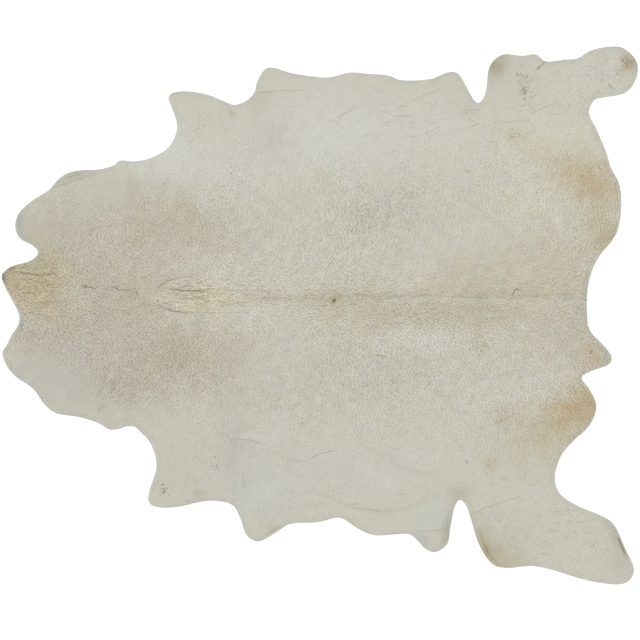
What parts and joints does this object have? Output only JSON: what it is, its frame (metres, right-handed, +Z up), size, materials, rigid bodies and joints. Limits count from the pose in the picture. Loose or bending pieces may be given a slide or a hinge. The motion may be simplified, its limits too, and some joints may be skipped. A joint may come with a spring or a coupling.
{
  "type": "cowhide rug",
  "caption": "Whole hair-on cowhide rug lying flat, pale cream-grey with tan patches, trimmed to the natural outline of neck, legs and belly.",
  "frame": {"origin": "middle of the hide's box, on the flat flesh side that lies on the floor", "axes": "+X along the back from the neck to the rump, +Y across the back, +Z up from the flesh side to the hair side"},
  "size_m": [2.133, 1.803, 0.009],
  "materials": {
    "hide": "short cream-grey hair over tanned skin, suede flesh side"
  },
  "bodies": {
    "root": {"hide": "hide"}
  },
  "joints": []
}
